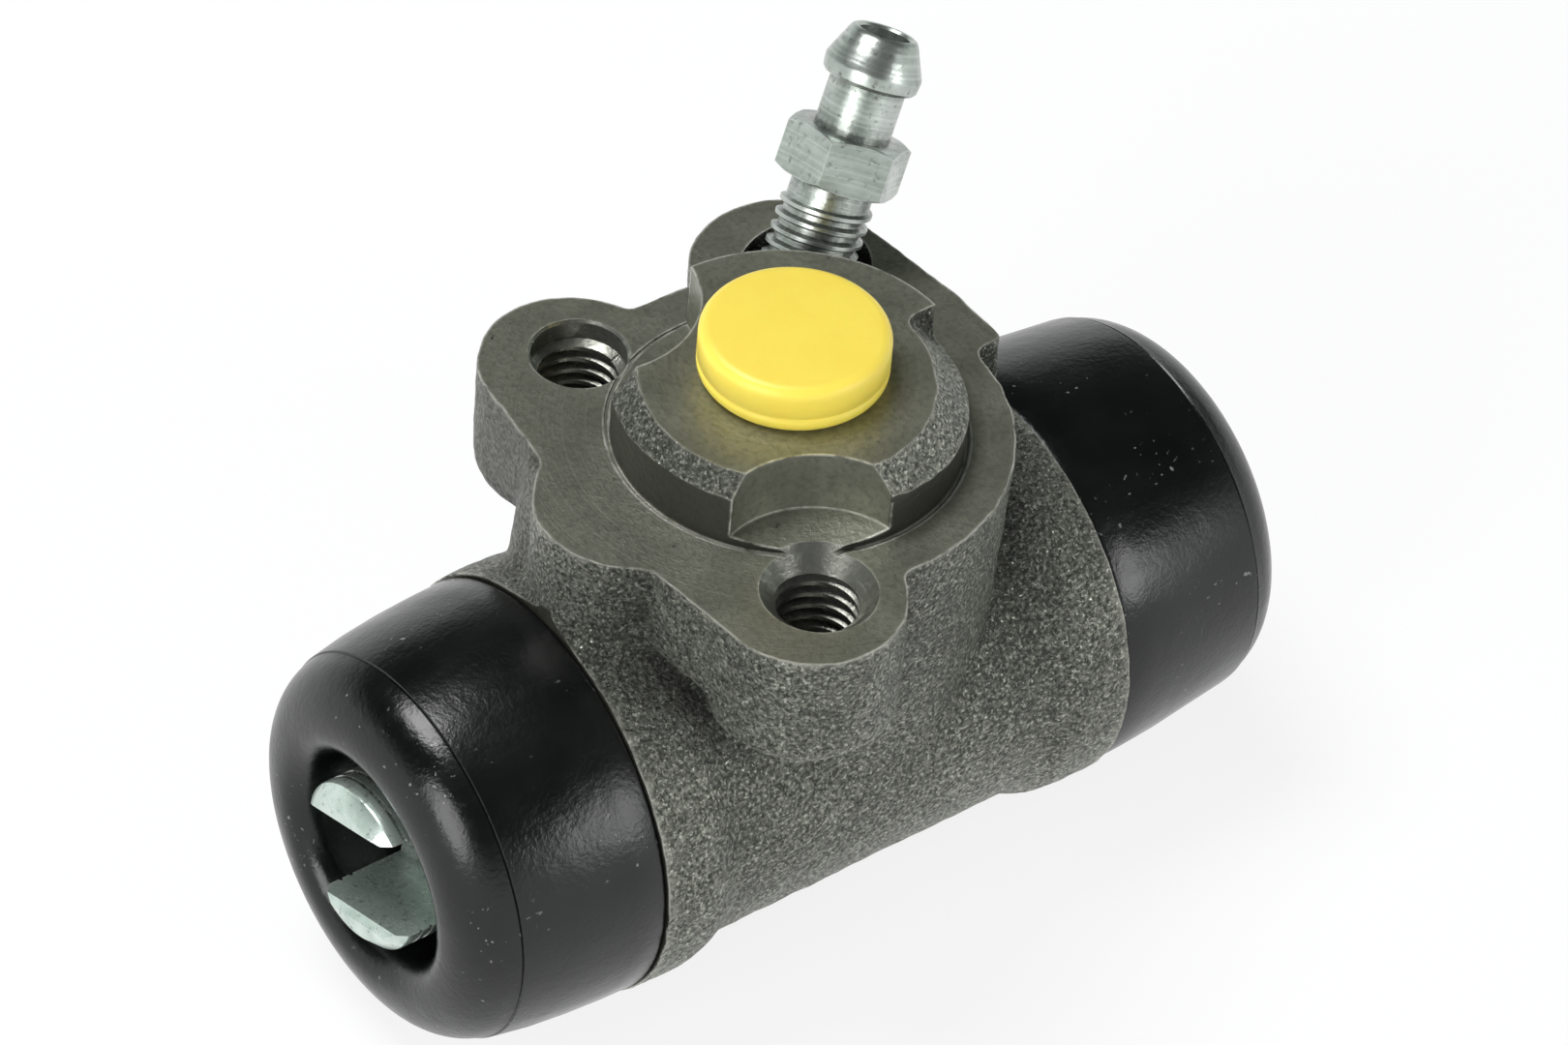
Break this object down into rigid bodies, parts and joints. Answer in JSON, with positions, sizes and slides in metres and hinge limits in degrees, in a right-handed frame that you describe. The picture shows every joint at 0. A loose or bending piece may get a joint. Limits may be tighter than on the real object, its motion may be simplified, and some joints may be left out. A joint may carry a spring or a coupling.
{
  "type": "wheel cylinder",
  "caption": "Drum brake wheel cylinder: cast body with a spigoted mounting flange, opposed slotted pistons under rubber boots, a bleed screw and a transit plug.",
  "frame": {"origin": "middle of the spigot on the flat mounting face of the flange", "axes": "+Z out of the mounting face, +X along the bore towards the right-hand boot, +Y across the bore towards the bleed screw"},
  "size_m": [0.0864, 0.0489, 0.0654],
  "materials": {
    "cast_body": "rough as cast, with machined faces",
    "plated_steel": "turned and zinc plated",
    "bright_steel": "turned and bright zinc plated",
    "pressed_steel": "pressed sheet",
    "spring_steel": "drawn wire",
    "seal_rubber": "moulded",
    "boot_rubber": "moulded, half gloss",
    "yellow_plastic": "moulded"
  },
  "bodies": {
    "housing": {"cylinder_body": "cast_body", "return_spring": "spring_steel", "dust_boot_left": "boot_rubber", "dust_boot_right": "boot_rubber", "inlet_plug": "yellow_plastic"},
    "left_piston": {"piston_left": "plated_steel", "cup_seal_left": "seal_rubber", "cup_expander_left": "pressed_steel"},
    "right_piston": {"piston_right": "plated_steel", "cup_seal_right": "seal_rubber", "cup_expander_right": "pressed_steel"},
    "bleeder": {"bleeder_screw": "bright_steel"}
  },
  "joints": [
    {"name": "left_piston_slide", "type": "slide", "parent": "housing", "child": "left_piston", "axis": [-1, 0, 0], "range_m": [-0.004, 0.005], "deforming": ["dust_boot_left", "return_spring"]},
    {"name": "right_piston_slide", "type": "slide", "parent": "housing", "child": "right_piston", "axis": [1, 0, 0], "range_m": [-0.004, 0.005], "deforming": ["dust_boot_right", "return_spring"]},
    {"name": "bleeder_turn", "type": "hinge", "parent": "housing", "child": "bleeder", "pos_m": [0.013, 0.0152, 0], "axis": [0.4741, 0.2012, 0.8572], "range_deg": [0, 360]}
  ]
}
